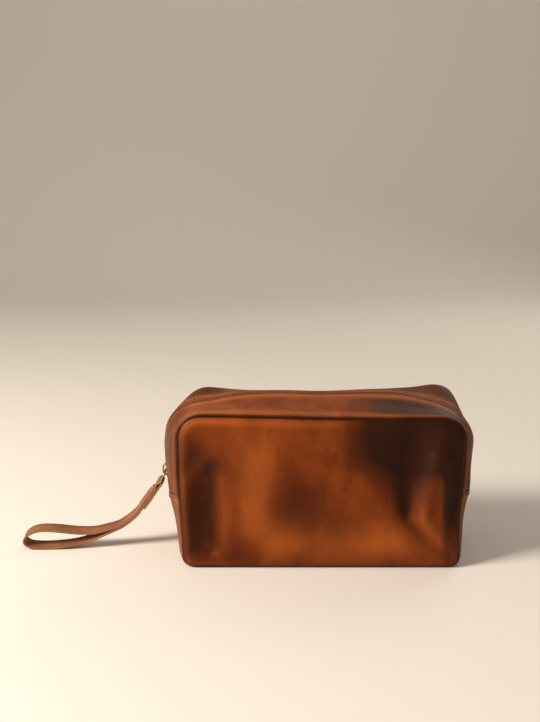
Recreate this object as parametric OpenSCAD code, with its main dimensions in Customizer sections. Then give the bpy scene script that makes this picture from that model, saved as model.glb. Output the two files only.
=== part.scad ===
// Shaving kit bag: a soft leather box with a zip over the top and down both
// ends, and a wrist strap that hangs from the zip slider on a small ring.
// +X runs along the bag, -Y is the front, +Z is up, and the origin is the
// middle of the flat base.

/* [Body] */
// Half the length of the front panel at its foot
panel_half_foot = 112.5; // [90:0.5:140]
// Half the length of the front panel at its head
panel_half_head = 117; // [92:0.5:146]
// Height of the front and back panels
panel_h = 124.5; // [104:0.5:150]
// Distance from the outside of the front panel to the outside of the back panel
depth = 100; // [76:1:124]
// Radius of the two upper corners of a panel
panel_head_r = 20; // [12:1:26]
// Radius of the two lower corners of a panel
panel_foot_r = 8; // [5:1:12]
// Thickness of the leather
leather = 1.8; // [1.4:0.1:2.2]
// Thickness of the lining cloth
lining = 0.7; // [0.5:0.1:0.9]

/* [Gusset] */
// Height at which the zip ends and the bottom gusset begins
zip_end_h = 54; // [46:1:62]
// How far the end gussets swell past the panels at the zip's ends
swell_low = 13.5; // [8:0.5:18]
// How far the end gussets swell past the panels at the upper corners
swell_high = 17; // [10:0.5:22]
// How far the bottom gusset swells past the panels at the foot
swell_foot = 4.5; // [2:0.5:8]
// How far the top swells above the panels
swell_top = 8; // [4:0.5:12]
// Radius of the zip's path over the upper corners
zip_r = 38; // [30:1:44]

/* [Zip] */
// Width of the gap between the two leather strips
zip_gap = 10; // [9.6:0.1:13]
// Width of one half of the zip tape
tape_w = 13; // [10:0.5:16]
// Thickness of the zip tape
tape_t = 0.8; // [0.6:0.1:1]
// Distance from one tooth to the next along one side
tooth_pitch = 3; // [2.6:0.1:3.4]
// Length of one tooth along the zip
tooth_len = 1.7; // [1.3:0.1:2]
// Length of one tooth across the zip
tooth_reach = 3; // [2.4:0.1:3.4]
// Thickness of the teeth
tooth_t = 2.2; // [1.8:0.1:2.4]

/* [Slider and ring] */
// Height of the slider's middle when the zip is closed
slider_h = 66; // [65:1:70]
// Length of the slider
slider_len = 12; // [10:0.5:13]
// Width of the slider
slider_w = 9; // [8:0.1:9.4]
// Thickness of each of the slider's two plates
plate_t = 1.2; // [1:0.1:1.4]
// Height of the slider's bridge above its outer plate
bridge_h = 5; // [4.6:0.1:6]
// Diameter of the ring's wire
wire_d = 1.8; // [1.4:0.1:2]
// Length of the ring between the middles of its two bars
ring_len = 9; // [8:0.5:12]

/* [Wrist strap] */
// Width of the strap
strap_w = 12; // [9:0.5:14]
// Thickness of one layer of the strap
strap_t = 1.8; // [1.5:0.1:2]

/* [Hidden] */
$fn = 48;

LEATHER = [0.55, 0.27, 0.13];
CLOTH = [0.62, 0.53, 0.42];
TAPE = [0.20, 0.11, 0.07];
THREAD = [0.33, 0.16, 0.09];
BRASS = [0.55, 0.43, 0.22];

fit = 0.05;                       // gap between pieces that are sewn together
seam_gap = 0.3;                   // gap between pieces on different bodies
half_d = depth / 2;
fold_h = zip_end_h;               // height of the line where the panels fold
lining_in = leather + 1.05;       // depth of the lining under the leather's face
tape_in = leather + 0.1;          // depth of the tape under the leather's face
chain_in = tape_in + tape_t / 2;  // depth of the middle of the teeth
arc_steps = 8;                    // facets in each rounded corner of a shell
leg_steps = 4;                    // facets up each straight end of a shell
gusset_steps = 10;                // facets across the bottom gusset
strip_edge = zip_gap / depth;     // the strip's free edge, as a share of half the depth
row_gap = 0.4;                    // half the gap between the two rows of teeth
first_tooth_h = zip_end_h + 6;
stop_h = zip_end_h + 4;           // height of the top stops, and of the foot of the tape
bottom_stop_h = zip_end_h + 2.2;
stop_len = 2.4;
thread_d = 0.5;
thread_lift = 0.2;                // gap under the thread of the joining seam
join_drop = 3;                    // distance of the joining seam under the zip's end
stitch_in = 3;                    // distance of a stitch row from the strip's free edge

// Half lengths of the panel and of the zip's path at a height
function panel_half(h) = panel_half_foot + (panel_half_head - panel_half_foot) * h / panel_h;
foot_panel = panel_half(zip_end_h);
foot_zip = foot_panel + swell_low;
head_zip = panel_half_head + swell_high;
zip_top = panel_h + swell_top;
lean = atan((head_zip - foot_zip) / (zip_top - zip_end_h));

// ---------- outlines ----------

function unit(v) = v / norm(v);

// Points of the arc that rounds the corner b between a and c, from a's side to c's
function rounded(a, b, c, r) =
    let (u = unit(a - b), w = unit(c - b),
         half = acos(u * w) / 2,
         tangent = r / tan(half),
         mid = b + unit(u + w) * r / sin(half),
         p = b + u * tangent - mid,
         q = b + w * tangent - mid,
         start = atan2(p[1], p[0]),
         turn = atan2(p[0] * q[1] - p[1] * q[0], p * q))
    [for (i = [0:arc_steps])
        mid + r * [cos(start + turn * i / arc_steps), sin(start + turn * i / arc_steps)]];

// Points from a up to, but not at, b
function leg(a, b) = [for (i = [0:leg_steps - 1]) a + (b - a) * i / leg_steps];

function backwards(points) = [for (i = [len(points) - 1:-1:0]) points[i]];

// The line a, b, c, d with its corners b and c rounded
function bridge_line(a, b, c, d, r) =
    let (left = rounded(a, b, c, r), right = rounded(b, c, d, r))
    concat(leg(a, left[0]), left, right, backwards(leg(d, right[arc_steps])));

// An arch from the left foot over two rounded corners to the right foot, set in by a depth
function arch(foot, foot_h, head, head_h, r, inset) =
    bridge_line([-(foot - inset), foot_h], [-(head - inset), head_h - inset],
        [head - inset, head_h - inset], [foot - inset, foot_h], r - inset);

// A trough from the left brim down round the base to the right brim, set in by a depth
function trough(brim, brim_h, foot, r, inset) =
    bridge_line([-(brim - inset), brim_h], [-(foot - inset), inset],
        [foot - inset, inset], [brim - inset, brim_h], r - inset);

function seam_arch(h, inset) =
    arch(panel_half(h), h, panel_half_head, panel_h, panel_head_r, inset);
function zip_arch(h, inset) =
    arch(foot_zip + (h - zip_end_h) * tan(lean), h, head_zip, zip_top, zip_r, inset);
function seam_trough(h, inset) =
    trough(panel_half(h), h, panel_half_foot, panel_foot_r, inset);
function zip_trough(h, inset) =
    trough(foot_zip, h, panel_half_foot + swell_foot, panel_foot_r + swell_foot, inset);

// A point of the swollen gusset between its seam (v = -1 or 1) and its middle (v = 0)
function swollen(seam, middle, v) =
    let (k = 1 - v * v)
    [seam[0] + (middle[0] - seam[0]) * k, v * half_d, seam[1] + (middle[1] - seam[1]) * k];

// ---------- shells ----------

// One closed solid through a row of closed loops that have the same number of points
module skin(loops) {
    n = len(loops[0]);
    m = len(loops);
    walls = [for (i = [0:m - 2], j = [0:n - 1])
        each [[i * n + j, (i + 1) * n + j, (i + 1) * n + (j + 1) % n],
              [i * n + j, (i + 1) * n + (j + 1) % n, i * n + (j + 1) % n]]];
    first = [for (j = [0:n - 1]) j];
    last = [for (j = [n - 1:-1:0]) (m - 1) * n + j];
    polyhedron([for (loop = loops) each loop], concat(walls, [first, last]));
}

// A band of the gusset between two shares of half the depth, from one depth to another
module band(seam_out, mid_out, seam_in, mid_in, v_from, v_to, steps) {
    vs = [for (i = [0:steps]) v_from + (v_to - v_from) * i / steps];
    skin([for (i = [0:len(seam_out) - 1])
        concat([for (v = vs) swollen(seam_out[i], mid_out[i], v)],
               [for (k = [steps:-1:0]) swollen(seam_in[i], mid_in[i], vs[k])])]);
}

module arch_band(foot, depth_from, depth_to, v_from, v_to, steps) {
    band(seam_arch(foot, depth_from), zip_arch(foot, depth_from),
         seam_arch(foot, depth_to), zip_arch(foot, depth_to), v_from, v_to, steps);
}

module trough_band(brim, depth_from, depth_to, v_from, v_to, steps) {
    band(seam_trough(brim, depth_from), zip_trough(brim, depth_from),
         seam_trough(brim, depth_to), zip_trough(brim, depth_to), v_from, v_to, steps);
}

// Draws a shape of the front half as the back half's
module at_back() { mirror([0, 1, 0]) children(); }

// Stands a flat outline up as a plate whose outer face is at y and whose thickness runs inwards
module front_plate(y, t) { translate([0, y + t, 0]) rotate([90, 0, 0]) linear_extrude(t) children(); }

module panel_lower(inset, y, t) {
    front_plate(y, t) polygon(trough(panel_half(fold_h), fold_h - seam_gap / 2, panel_half_foot,
        panel_foot_r, inset));
}

module panel_upper(inset, y, t) {
    front_plate(y, t) polygon(seam_arch(fold_h + seam_gap / 2, inset));
}

// ---------- the standing half of the bag ----------

module front_panel_lower() { color(LEATHER) panel_lower(leather + fit, -half_d, leather); }

module back_panel_lower() { color(LEATHER) at_back() panel_lower(leather + fit, -half_d, leather); }

module bottom_gusset() {
    color(LEATHER) trough_band(zip_end_h - seam_gap / 2, 0, leather, 1, -1, gusset_steps);
}

lining_gap = 0.2;
lining_y = -half_d + leather + lining_gap;                      // outer face of the lining panels
lining_v = (half_d - leather - lining_gap - lining - fit) / half_d;  // edge of the lining gusset

module lining_front_lower() { color(CLOTH) panel_lower(lining_in, lining_y, lining); }

module lining_back_lower() { color(CLOTH) at_back() panel_lower(lining_in, lining_y, lining); }

module lining_bottom_gusset() {
    color(CLOTH) trough_band(zip_end_h - seam_gap / 2, lining_in, lining_in + lining,
        lining_v, -lining_v, 8);
}

// A point on the outside of the bottom gusset's left end, moved outwards by a distance
function end_face(v, h, out) =
    let (middle = panel_half_foot + swell_foot
             + (foot_zip - panel_half_foot - swell_foot) * h / zip_end_h)
    swollen([-panel_half(h), h], [-middle, h], v) - [out, 0, 0];

// Row of thread under the zip's end, where the bottom gusset laps onto the zip strips
module join_thread() {
    h = zip_end_h - join_drop;
    color(THREAD) skin([for (i = [1:gusset_steps - 1])
        let (v = 1 - 2 * i / gusset_steps)
        [end_face(v, h, thread_lift), end_face(v, h + thread_d, thread_lift),
         end_face(v, h + thread_d, thread_lift + thread_d), end_face(v, h, thread_lift + thread_d)]]);
}

module left_join_thread() { join_thread(); }

module right_join_thread() { mirror([1, 0, 0]) join_thread(); }

// Carries a shape drawn about the origin, -X outwards and +Z up the zip, to the left end of the
// zip, at a height and at a depth under the leather's face
module on_left_leg(h, inset) {
    translate([-(foot_zip + (h - zip_end_h) * tan(lean) - inset), 0, h]) rotate([0, -lean, 0]) children();
}

module zip_bottom_stop() {
    color(BRASS) mirror([1, 0, 0]) on_left_leg(bottom_stop_h, chain_in)
        cube([tooth_t, 2 * tooth_reach, stop_len], center = true);
}

// ---------- the two leaves that open ----------

module zip_strip() { color(LEATHER) arch_band(zip_end_h + seam_gap / 2, 0, leather, -1, -strip_edge, 6); }

// Row of thread along the strip's free edge
stitch_v = strip_edge + stitch_in / half_d;
module strip_thread() {
    color(THREAD) arch_band(zip_end_h + seam_gap, -fit - thread_d, -fit, -stitch_v - thread_d / half_d,
        -stitch_v, 1);
}

tooth_root = row_gap + tooth_reach;    // distance of a tooth's outer end from the zip's middle
module zip_tape() {
    color(TAPE) arch_band(stop_h, tape_in, tape_in + tape_t, -tape_w / half_d, -tooth_root / half_d, 2);
}

// The zip's path at the depth of the teeth: leg, corner, half of the top
path_foot = foot_zip + (first_tooth_h - zip_end_h) * tan(lean) - chain_in;
path_r = zip_r - chain_in;
corner_tangent = path_r * tan((90 + lean) / 2);
leg_top = zip_top - chain_in - corner_tangent * cos(lean);
leg_len = (leg_top - first_tooth_h) / cos(lean);
corner_len = path_r * (90 + lean) * PI / 180;
top_half = head_zip - chain_in - corner_tangent;
half_path = leg_len + corner_len + top_half;
teeth_per_half = floor(half_path / tooth_pitch);

// Carries a shape to a distance along the left half of the zip's path, from its lowest tooth
module on_path(s) {
    if (s < leg_len)
        translate([-(path_foot + s * sin(lean)), 0, first_tooth_h + s * cos(lean)])
            rotate([0, -lean, 0]) children();
    else if (s < leg_len + corner_len)
        translate([-top_half, 0, zip_top - chain_in - path_r])
            rotate([0, (s - leg_len) / path_r * 180 / PI - lean, 0])
                translate([-path_r, 0, 0]) children();
    else
        translate([-top_half + (s - leg_len - corner_len), 0, zip_top - chain_in])
            rotate([0, 90, 0]) children();
}

module zip_teeth() {
    color(BRASS) for (side = [0, 1], i = [0:teeth_per_half - 1])
        mirror([side, 0, 0]) on_path(half_path - (i + 0.5) * tooth_pitch)
            translate([0, -row_gap - tooth_reach / 2, 0])
                cube([tooth_t, tooth_reach - fit, tooth_len], center = true);
}

module zip_top_stop() {
    color(BRASS) on_left_leg(stop_h, chain_in)
        translate([0, -row_gap - tooth_reach / 2, 0])
            cube([tooth_t, tooth_reach - fit, stop_len / 2], center = true);
}

strip_lining_v = (slider_w / 2 + stitch_in) / half_d;   // the lining stops clear of the slider
module strip_lining() {
    color(CLOTH) arch_band(zip_end_h + seam_gap / 2, lining_in, lining_in + lining, -lining_v,
        -strip_lining_v, 4);
}

module front_panel_upper() { color(LEATHER) panel_upper(leather + fit, -half_d, leather); }

module front_zip_strip() { zip_strip(); }

module front_strip_thread() { strip_thread(); }

module zip_tape_front() { zip_tape(); }

module zip_teeth_front() { zip_teeth(); }

module zip_top_stop_front() { zip_top_stop(); }

module lining_front_upper() { color(CLOTH) panel_upper(lining_in, lining_y, lining); }

module lining_front_strip() { strip_lining(); }

module back_panel_upper() { color(LEATHER) at_back() panel_upper(leather + fit, -half_d, leather); }

module back_zip_strip() { at_back() zip_strip(); }

module back_strip_thread() { at_back() strip_thread(); }

module zip_tape_back() { at_back() zip_tape(); }

module zip_teeth_back() { at_back() zip_teeth(); }

module zip_top_stop_back() { at_back() zip_top_stop(); }

module lining_back_upper() { color(CLOTH) at_back() panel_upper(lining_in, lining_y, lining); }

module lining_back_strip() { at_back() strip_lining(); }

// ---------- slider ----------

plate_run = 0.3;                       // gap between the outer plate and the teeth
plate_gap = tooth_t + 1.7;             // room between the plates: the teeth lift as the mouth opens
web_t = 0.5;                           // the blade that joins the plates between the rows
web_len = slider_len - 2;
bite = 0.1;                            // how far the web and the bridge run into the plates
bridge_t = 1.6;
bridge_w = 2.6;
bridge_post = 2;
bridge_len = slider_len - 1;
plate_out = chain_in - tooth_t / 2 - plate_run - plate_t;   // depth of the slider's outer face

// A plate with round corners, wider at its mouth, with its outer face at x = 0 and -X outwards
module slider_plate(mouth, tail, len) {
    r = 1.5;
    translate([plate_t, 0, 0]) rotate([0, -90, 0]) linear_extrude(plate_t)
        polygon(concat(
            rounded([len / 2, tail / 2], [len / 2, -tail / 2], [-len / 2, -mouth / 2], r),
            rounded([len / 2, -tail / 2], [-len / 2, -mouth / 2], [-len / 2, mouth / 2], r),
            rounded([-len / 2, -mouth / 2], [-len / 2, mouth / 2], [len / 2, tail / 2], r),
            rounded([-len / 2, mouth / 2], [len / 2, tail / 2], [len / 2, -tail / 2], r)));
}

module zip_slider() {
    tail = slider_w - 2;
    color(BRASS) on_left_leg(slider_h, plate_out) union() {
        slider_plate(slider_w, tail, slider_len);
        translate([plate_t + plate_gap, 0, 0]) slider_plate(slider_w, tail, slider_len);
        translate([plate_t - bite, -web_t / 2, -web_len / 2]) cube([plate_gap + 2 * bite, web_t, web_len]);
        difference() {
            translate([-bridge_h, -bridge_w / 2, -bridge_len / 2])
                cube([bridge_h + bite, bridge_w, bridge_len]);
            translate([-bridge_h + bridge_t, -bridge_w, -bridge_len / 2 + bridge_post])
                cube([bridge_h - bridge_t, 2 * bridge_w, bridge_len - 2 * bridge_post]);
        }
    }
}

// ---------- ring ----------

ring_tilt = 25;                        // the ring hangs this far out from straight down
wire_r = wire_d / 2;
ring_corner = 1.4;                     // to the middle of the wire
ring_half = strap_w / 2 + ring_corner; // from the middle to the centre of each side wire
ring_drop = 1.5;                       // the ring sits this far under the bridge's middle
ring_play = 0.15;
pivot_in = plate_out - bridge_h + bridge_t + wire_r + ring_play;
pivot = [-(foot_zip + (slider_h - zip_end_h) * tan(lean)) + pivot_in * cos(lean) + ring_drop * sin(lean),
    slider_h + pivot_in * sin(lean) - ring_drop * cos(lean)];
bar = pivot + ring_len * [-sin(ring_tilt), -cos(ring_tilt)];

module ring_corner_wire() {
    rotate_extrude(angle = 90) translate([ring_corner, 0]) circle(wire_r);
}

module strap_ring() {
    // drawn flat with its upper bar on the Y axis, and its length towards -Z
    side = ring_len - 2 * ring_corner;
    across = 2 * (ring_half - ring_corner);
    color(BRASS) translate([pivot[0], 0, pivot[1]]) rotate([0, ring_tilt, 0]) union() {
        for (z = [0, -ring_len])
            translate([0, across / 2, z]) rotate([90, 0, 0]) cylinder(r = wire_r, h = across);
        for (y = [-ring_half, ring_half])
            translate([0, y, -ring_len + ring_corner]) cylinder(r = wire_r, h = side);
        for (m = [0, 1], n = [0, 1]) mirror([0, m, 0])
            translate([0, 0, -ring_len / 2]) mirror([0, 0, n]) translate([0, 0, ring_len / 2])
                translate([0, ring_half - ring_corner, -ring_corner])
                    rotate([90, 0, 90]) ring_corner_wire();
    }
}

// ---------- wrist strap ----------

// Middle line of the doubled part, from the ring's bar to where its two layers part: how far out
// from the bar, and what share of the drop is left
stem_route = [[0, 1], [6, 0.82], [13, 0.58], [22, 0.33], [33, 0.13], [46, 0]];
part_h = 13.9;
two_layers = strap_t + 0.1;            // half thicknesses
three_layers = 1.5 * strap_t;
strap_stem = [for (p = stem_route) [bar[0] - p[0], part_h + (bar[1] - part_h) * p[1]]];
stem_half = [two_layers, three_layers, three_layers, two_layers, two_layers, two_layers];
// The loop, from there round and back: how far out, and the height of its underside
loop_route = [[46, 12.1], [55, 8.2], [65, 4.6], [77, 1.9], [90, 0.4], [103, 0.3], [112, 2.1],
    [117.5, 6.6], [117, 12.3], [111, 16.3], [101, 18.1], [87, 17.9], [73, 16.2], [60, 14.6],
    [46, 13.9]];
strap_loop = [for (p = loop_route) [bar[0] - p[0], p[1] + strap_t / 2]];
strap_play = 0.08;
bore_r = wire_r + strap_play;
edge_stitch_in = 2;                    // distance of a stitch row from the strap's edge

// The line through the points moved sideways by a distance that is given for each point
function beside(points, away) = [for (i = [0:len(points) - 1])
    let (before = points[max(i - 1, 0)], after = points[min(i + 1, len(points) - 1)],
         along = unit(after - before))
    points[i] + away[i] * [-along[1], along[0]]];

function ribbon(points, halves) = concat(beside(points, halves), backwards(beside(points, -halves)));

// Gives an outline in X and Z a width along Y
module across(w) { translate([0, w / 2, 0]) rotate([90, 0, 0]) linear_extrude(w) children(); }

module along_bar(r, w) { translate([bar[0], w / 2, bar[1]]) rotate([90, 0, 0]) cylinder(r = r, h = w); }

module wrist_strap() {
    color(LEATHER) difference() {
        union() {
            across(strap_w) polygon(ribbon(strap_stem, stem_half));
            across(strap_w) polygon(ribbon(strap_loop, [for (p = strap_loop) strap_t / 2]));
            along_bar(bore_r + strap_t, strap_w);
        }
        along_bar(bore_r, strap_w + 2);
    }
}

// Rows of thread along both edges of the doubled part
module strap_thread() {
    under = beside(strap_stem, -[for (h = stem_half) h + fit]);
    over = beside(strap_stem, -[for (h = stem_half) h + fit + thread_d]);
    last = len(strap_stem) - 2;
    y = strap_w / 2 - edge_stitch_in;
    color(THREAD) for (side = [-y, y]) translate([0, side, 0]) across(thread_d)
        polygon(concat([for (i = [1:last]) under[i]], backwards([for (i = [1:last]) over[i]])));
}

front_panel_lower();
back_panel_lower();
bottom_gusset();
lining_front_lower();
lining_back_lower();
lining_bottom_gusset();
left_join_thread();
right_join_thread();
zip_bottom_stop();
front_panel_upper();
front_zip_strip();
front_strip_thread();
zip_tape_front();
zip_teeth_front();
zip_top_stop_front();
lining_front_upper();
lining_front_strip();
back_panel_upper();
back_zip_strip();
back_strip_thread();
zip_tape_back();
zip_teeth_back();
zip_top_stop_back();
lining_back_upper();
lining_back_strip();
zip_slider();
strap_ring();
wrist_strap();
strap_thread();
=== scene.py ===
import math

import bpy
from mathutils import Matrix, Vector, noise


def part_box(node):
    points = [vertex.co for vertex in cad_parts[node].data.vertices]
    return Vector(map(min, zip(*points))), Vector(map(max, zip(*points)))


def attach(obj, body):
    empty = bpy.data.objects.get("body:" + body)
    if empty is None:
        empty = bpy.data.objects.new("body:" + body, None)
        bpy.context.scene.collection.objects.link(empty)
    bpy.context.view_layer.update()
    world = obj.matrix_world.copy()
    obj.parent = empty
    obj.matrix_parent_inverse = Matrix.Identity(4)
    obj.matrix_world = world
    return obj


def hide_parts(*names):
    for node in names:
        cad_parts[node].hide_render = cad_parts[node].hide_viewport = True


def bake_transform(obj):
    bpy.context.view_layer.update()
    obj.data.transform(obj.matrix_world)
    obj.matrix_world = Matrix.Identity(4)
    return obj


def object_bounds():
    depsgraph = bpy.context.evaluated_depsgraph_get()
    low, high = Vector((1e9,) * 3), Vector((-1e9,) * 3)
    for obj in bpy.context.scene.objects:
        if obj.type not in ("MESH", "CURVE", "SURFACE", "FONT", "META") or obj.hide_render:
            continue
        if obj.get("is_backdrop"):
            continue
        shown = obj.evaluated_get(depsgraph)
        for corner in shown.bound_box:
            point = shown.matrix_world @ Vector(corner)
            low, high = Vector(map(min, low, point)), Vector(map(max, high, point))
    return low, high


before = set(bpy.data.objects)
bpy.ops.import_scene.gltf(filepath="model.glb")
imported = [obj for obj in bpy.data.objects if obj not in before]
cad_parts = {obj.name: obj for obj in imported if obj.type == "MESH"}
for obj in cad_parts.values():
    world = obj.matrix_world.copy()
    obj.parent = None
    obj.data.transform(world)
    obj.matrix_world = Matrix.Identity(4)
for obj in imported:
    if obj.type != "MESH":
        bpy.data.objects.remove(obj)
cad_low, cad_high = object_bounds()
MM = 0.001

# ---------------------------------------------------------------- camera, table and light
# The bag stands on a plain pale table whose far side sweeps up into a backdrop. The light is one
# broad soft window on the left, with a weaker one on the right and a low one behind, so that the
# leather's folds show.

camera = bpy.data.objects.new("camera", bpy.data.cameras.new("camera"))
camera.data.lens = 51.83
camera.data.sensor_width = 36
camera.data.shift_y = -0.2
camera.location = (-0.0418, -0.8786, 0.3294)
camera.rotation_euler = (math.radians(90 - 3.045), 0, 0)
bpy.context.scene.collection.objects.link(camera)
bpy.context.scene.camera = camera
bpy.context.scene.view_settings.view_transform = "Standard"

bpy.ops.object.select_all(action="DESELECT")
bpy.ops.mesh.primitive_grid_add(x_subdivisions=2, y_subdivisions=64, size=8)
table = bpy.context.object
table.name = "table"
sweep_start, sweep_r = 1.6, 1.2
for vertex in table.data.vertices:
    past = vertex.co.y - sweep_start
    if past > 0:
        turn = min(past / sweep_r, math.pi / 2)
        vertex.co.y = sweep_start + sweep_r * math.sin(turn)
        vertex.co.z = sweep_r * (1 - math.cos(turn)) + max(past - sweep_r * math.pi / 2, 0) * 3
bpy.ops.object.shade_smooth()
table_paint = bpy.data.materials.new("pale_table")
table_paint.use_nodes = True
table_paint.node_tree.nodes["Principled BSDF"].inputs["Base Color"].default_value = (0.80, 0.74, 0.67, 1)
table_paint.node_tree.nodes["Principled BSDF"].inputs["Roughness"].default_value = 0.7
table.data.materials.append(table_paint)
table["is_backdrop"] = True


def soft_light(name, place, size, power, colour):
    """A square area light that faces the middle of the bag."""
    lamp = bpy.data.lights.new(name, "AREA")
    lamp.size = size
    lamp.energy = power
    lamp.color = colour
    holder = bpy.data.objects.new(name, lamp)
    holder.location = place
    aim = Vector((0, 0, 0.06)) - Vector(place)
    holder.rotation_euler = aim.to_track_quat("-Z", "Y").to_euler()
    bpy.context.scene.collection.objects.link(holder)


soft_light("window_left", (-1.35, -0.62, 0.95), 0.55, 45, (1, 0.92, 0.82))
soft_light("fill_right", (1.2, -1.5, 0.7), 1.4, 3.5, (1, 0.93, 0.85))
soft_light("low_back", (0.9, 1.2, 1.0), 1.0, 6, (1, 0.92, 0.82))
world = bpy.data.worlds.new("room")
world.use_nodes = True
world.node_tree.nodes["Background"].inputs["Color"].default_value = (0.95, 0.88, 0.80, 1)
world.node_tree.nodes["Background"].inputs["Strength"].default_value = 0.30
bpy.context.scene.world = world

# ---------------------------------------------------------------- front panel
# One piece of pull-up leather, 1.6 mm thick, cut with round upper corners. Its edge is turned in
# and sewn to the gusset from inside, so the face stands proud of a narrow groove.

leather_t = 1.6 * MM
half_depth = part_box("bottom_gusset")[1].y
fold_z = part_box("bottom_gusset")[1].z
panel_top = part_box("front_panel_upper")[1].z + leather_t
zip_top = 132.5 * MM
head_half, foot_half = 117 * MM, 112.5 * MM
head_r, foot_r = 20 * MM, 8 * MM
seam_in = 2 * MM          # how far the turned seam lies under the leather's face
roll = 5 * MM             # width of the panel's rounded edge
roll_h = 3.2 * MM         # how far the panel's face stands proud of the seam
pillow_h = 2.6 * MM
noise.seed_set(3)         # holds the loose wave in soften to one shape: unset, each run draws its own


def smooth(low, high, value):
    """0 below low, 1 above high, and a soft step between them."""
    t = min(max((value - low) / (high - low), 0), 1)
    return t * t * (3 - 2 * t)


def bump(value, middle, width):
    """A bell that is 1 at its middle."""
    return math.exp(-((value - middle) / width) ** 2)


def trough(x, z, start, end, width, end_width=None):
    """1 along the line from start to end, falling off to both sides over a width that may change."""
    ax, az = start
    dx, dz = end[0] - ax, end[1] - az
    t = ((x - ax) * dx + (z - az) * dz) / (dx * dx + dz * dz)
    t = min(max(t, 0), 1)
    wide = width + ((end_width or width) - width) * t
    return math.exp(-((x - ax - dx * t) ** 2 + (z - az - dz * t) ** 2) / wide ** 2)


def front_dents(x, z):
    """How far the front panel is pushed in at a place, in millimetres."""
    # the left hollow: its right wall and its round lower end are sharp folds, the rest is soft
    t = min(max(z, 19), 72)
    away = math.hypot(x + 92.5, z - t)
    softness = 10 if x < -92.5 else 4 + 3 * smooth(40, 14, z)
    d = 4.2 * (1 - smooth(12.5 - softness, 13.5, away)) * smooth(98, 60, z)
    d += 1.8 * trough(x, z, (-91, 80), (-91, 30), 7)
    d += 1.8 * trough(x, z, (-112, 72), (-92, 98), 7)
    d -= 1.4 * trough(x, z, (-74, 62), (-74, 14), 6)
    d -= 1.6 * trough(x, z, (-108, 70), (-108, 20), 5)
    d -= 2.2 * trough(x, z, (-52, 90), (-52, 34), 20)
    d += 1.2 * trough(x, z, (-18, 90), (-24, 30), 14)
    # the right hollow: a V that ends in a point, beside a long ridge, and a crease to the corner
    d += 6.5 * trough(x, z, (73, 100), (69, 50), 20, 8)
    d -= 3.2 * trough(x, z, (93, 90), (83, 46), 7, 6) + 2.4 * trough(x, z, (84, 40), (97, 14), 7, 10)
    d += 2.8 * trough(x, z, (70, 42), (104, 6), 5, 5)
    d -= 1.2 * trough(x, z, (56, 34), (80, 10), 8)
    d -= 2.0 * trough(x, z, (-30, 18), (60, 20), 13)
    d += 6.0 * smooth(96, 108, x) * bump(z, 62, 44)
    return d


def soften(point):
    """Where the soft bag holds a point of its true shape: the leather sags, dents and waves."""
    x, y, z = point / MM
    at_zip = max(1 - (y / (50 if y < 0 else 32)) ** 2, 0)
    high = smooth(70, 110, z)
    low = smooth(2, 14, z)
    # the top: it sinks along the zip over both shoulders and stands up in humps behind
    z_new = z - high * at_zip * (6.5 * bump(x, -98, 23) + 8.5 * bump(x, 106, 27))
    z_new += high * smooth(4, 30, y) * 2.4 * (bump(x, -104, 26) + 1.2 * bump(x, 108, 26))
    z_new -= high * smooth(-10, 30, y) * 2.4 * bump(x, -15, 70)
    z_new -= high * smooth(10, -40, y) * 0.6 * bump(x, 20, 80)
    z_new += high * smooth(-14, -46, y) * 2.0 * bump(x, -86, 70)
    # the ends: the back right corner swells, and both ends draw in above the base
    corner = 3.4 * smooth(5, 30, y) * math.exp(-((x - 112) ** 2 + (z - 121) ** 2) / 210)
    z_new += corner
    x_new = x + corner - 3.2 * bump(z, 36, 22) * smooth(70, 112, x)
    x_new += 1.0 * bump(z, 40, 22) * smooth(-80, -112, x) * smooth(20, -50, y)
    x_new -= 1.3 * smooth(-112, -124, x) * smooth(6, 20, abs(y)) * bump(z, 82, 26)
    x_new += math.copysign(2.1, x) * smooth(72, 112, abs(x)) * smooth(-24, -50, y) * smooth(0, 44, z)
    # the two panels: their dents fade out over the gusset
    y_new = y + front_dents(x, z) * smooth(-26, -50, y) * low
    back = 3.2 * trough(x, z, (60, 96), (48, 40), 15, 9) + 2.6 * trough(x, z, (-84, 90), (-70, 30), 12)
    y_new -= back * smooth(26, 50, y) * low
    # and a loose wave all over, left out only round the slider
    still = smooth(10, 24, abs(y)) + smooth(-112, -96, x) + smooth(50, 40, z) + smooth(96, 112, z)
    wave = noise.noise_vector(Vector((x, y, z)) / 46) * 1.3 * min(still, 1)
    return Vector((x_new + wave.x, y_new + wave.y * low, z_new + wave.z * low * 0.8)) * MM


def seam_here(z):
    """How deep the seam lies at a height: it closes up towards the base."""
    return seam_in * (0.5 + 0.5 * smooth(44 * MM, 64 * MM, z))


def panel_half(z):
    """Half the panel's length on its seam line, at a height."""
    line = foot_half + (head_half - foot_half) * z / panel_top - seam_here(z)
    top_r, low_r = head_r - seam_in, foot_r - seam_here(0)
    above = z - (panel_top - head_r)
    below = foot_r - z
    if above > 0:
        return line - top_r + math.sqrt(max(top_r ** 2 - above ** 2, 0))
    if below > 0:
        return line - low_r + math.sqrt(max(low_r ** 2 - below ** 2, 0))
    return line


def edge_distance(x, z):
    """How far a place on the panel is from its seam."""
    line = foot_half + (head_half - foot_half) * z / panel_top - seam_here(z)
    top, foot = panel_top - seam_in, seam_here(0)
    side = line - abs(x)
    from_top, from_foot = top - z, z - foot
    top_r, low_r = head_r - seam_in, foot_r - foot
    if side < top_r and from_top < top_r:
        return top_r - math.hypot(top_r - side, top_r - from_top)
    if side < low_r and from_foot < low_r:
        return low_r - math.hypot(low_r - side, low_r - from_foot)
    return min(side, from_top, from_foot)


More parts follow.
